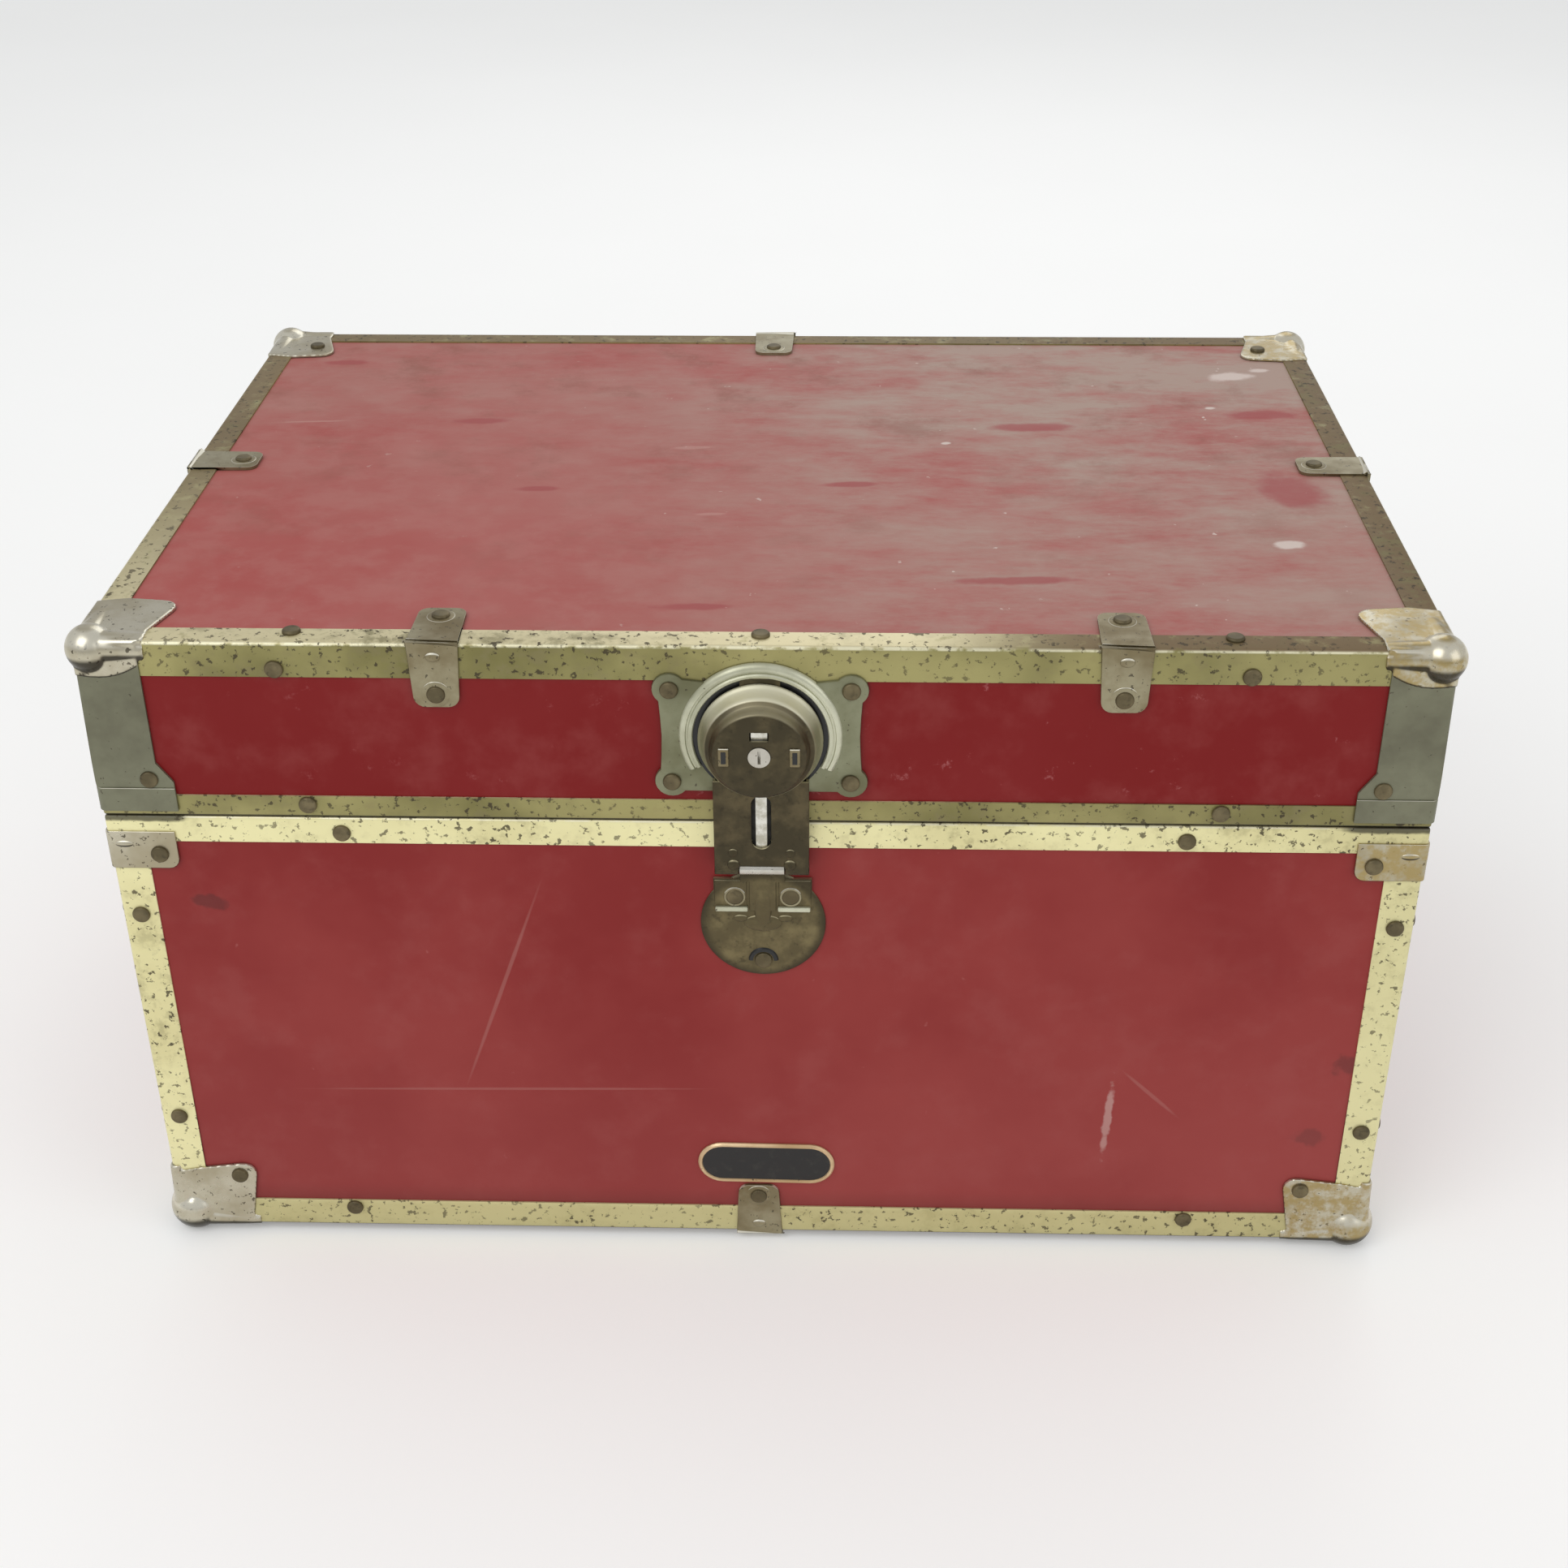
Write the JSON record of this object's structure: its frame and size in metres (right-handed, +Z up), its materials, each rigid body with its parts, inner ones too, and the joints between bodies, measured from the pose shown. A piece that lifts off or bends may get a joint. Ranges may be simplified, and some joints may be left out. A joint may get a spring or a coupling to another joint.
{
  "type": "storage trunk",
  "caption": "Red fibre-covered plywood storage trunk with brass-finished steel edges, corner caps, hinged lid, hasp lock and drop handles.",
  "frame": {"origin": "on the floor, under the middle of the whole trunk with its lock, hinges and handles", "axes": "+X to the right seen from the lock's side, +Y to the hinges at the back, +Z up"},
  "size_m": [0.643, 0.4422, 0.348],
  "materials": {
    "plywood": "raw plywood",
    "rim_wood": "plain softwood strip",
    "red_fibre": "smooth hard red fibre sheet, dulled and scratched",
    "paper_lining": "aged cream paper",
    "brassed_steel": "pale brass finish, pitted and rusting in places",
    "nickel_steel": "worn nickel",
    "aged_clip": "dull nickel gone brown",
    "nickel_hub": "pale grey-green nickel",
    "antique_brass": "dark antique brass",
    "rivet_steel": "dark oxidised rivet heads",
    "bright_steel": "bright steel",
    "nameplate_enamel": "black field in a pale gold edge, bare",
    "grip_leather": "dark brown leather"
  },
  "bodies": {
    "trunk_body": {"body_bottom_board": "plywood", "body_front_board": "plywood", "body_back_board": "plywood", "body_left_board": "plywood", "body_right_board": "plywood", "body_covering": "red_fibre", "body_lining": "paper_lining", "body_rim_strips": "rim_wood", "body_bottom_binding": "brassed_steel", "body_rim_binding": "brassed_steel", "body_corner_bindings": "brassed_steel", "body_rim_brackets": "nickel_steel", "body_clip_front": "aged_clip", "nameplate": "nameplate_enamel", "shield_plate": "antique_brass", "hasp_pin": "antique_brass", "hinge_pins": "nickel_steel", "body_binding_rivets": "rivet_steel", "body_cap_rivets": "rivet_steel", "body_fitting_rivets": "antique_brass", "hinge_body_leaf_left": "nickel_steel", "hinge_body_leaf_right": "nickel_steel", "handle_eyes_left": "nickel_steel", "handle_eyes_right": "nickel_steel", "foot_cap_front_left": "nickel_steel", "foot_cap_front_right": "nickel_steel", "foot_cap_back_left": "nickel_steel", "foot_cap_back_right": "nickel_steel"},
    "lid": {"lid_top_board": "plywood", "lid_front_board": "plywood", "lid_back_board": "plywood", "lid_left_board": "plywood", "lid_right_board": "plywood", "lid_covering": "red_fibre", "lid_lining": "paper_lining", "lid_rim_binding": "brassed_steel", "lid_top_binding": "brassed_steel", "lid_clip_front_left": "aged_clip", "lid_clip_front_right": "aged_clip", "lid_clip_back": "aged_clip", "lid_clip_left": "aged_clip", "lid_clip_right": "aged_clip", "lid_binding_rivets": "rivet_steel", "lid_cap_rivets": "rivet_steel", "lid_fitting_rivets": "antique_brass", "hinge_lid_leaf_left": "nickel_steel", "hinge_lid_leaf_right": "nickel_steel", "lid_cap_front_left": "nickel_steel", "lid_cap_front_right": "nickel_steel", "lid_cap_back_left": "nickel_steel", "lid_cap_back_right": "nickel_steel", "hub_plate": "nickel_hub"},
    "hasp": {"hasp": "antique_brass"},
    "key_plug": {"key_plug": "bright_steel"},
    "catch": {"catch": "bright_steel"},
    "handle_left": {"handle_bail_left": "nickel_steel", "handle_grip_left": "grip_leather"},
    "handle_right": {"handle_bail_right": "nickel_steel", "handle_grip_right": "grip_leather"}
  },
  "joints": [
    {"name": "lid_hinge", "type": "hinge", "parent": "trunk_body", "child": "lid", "pos_m": [0, 0.2176, 0.253], "axis": [-1, 0, 0], "range_deg": [0, 105]},
    {"name": "hasp_hinge", "type": "hinge", "parent": "trunk_body", "child": "hasp", "pos_m": [0, -0.2047, 0.2307], "axis": [1, 0, 0], "range_deg": [0, 150]},
    {"name": "key_turn", "type": "hinge", "parent": "hasp", "child": "key_plug", "pos_m": [0, -0.2203, 0.2985], "axis": [0, 1, 0], "range_deg": [0, 90]},
    {"name": "catch_slide", "type": "slide", "parent": "hasp", "child": "catch", "axis": [0, 0, 1], "range_m": [0, 0.004]},
    {"name": "handle_left_swing", "type": "hinge", "parent": "trunk_body", "child": "handle_left", "pos_m": [-0.3135, 0.0067, 0.155], "axis": [0, 1, 0], "range_deg": [0, 90]},
    {"name": "handle_right_swing", "type": "hinge", "parent": "trunk_body", "child": "handle_right", "pos_m": [0.3135, 0.0067, 0.155], "axis": [0, -1, 0], "range_deg": [0, 90]}
  ],
  "couplings": [
    {"joint": "key_turn", "follows": "catch_slide", "rad_per_m": 392.6}
  ]
}
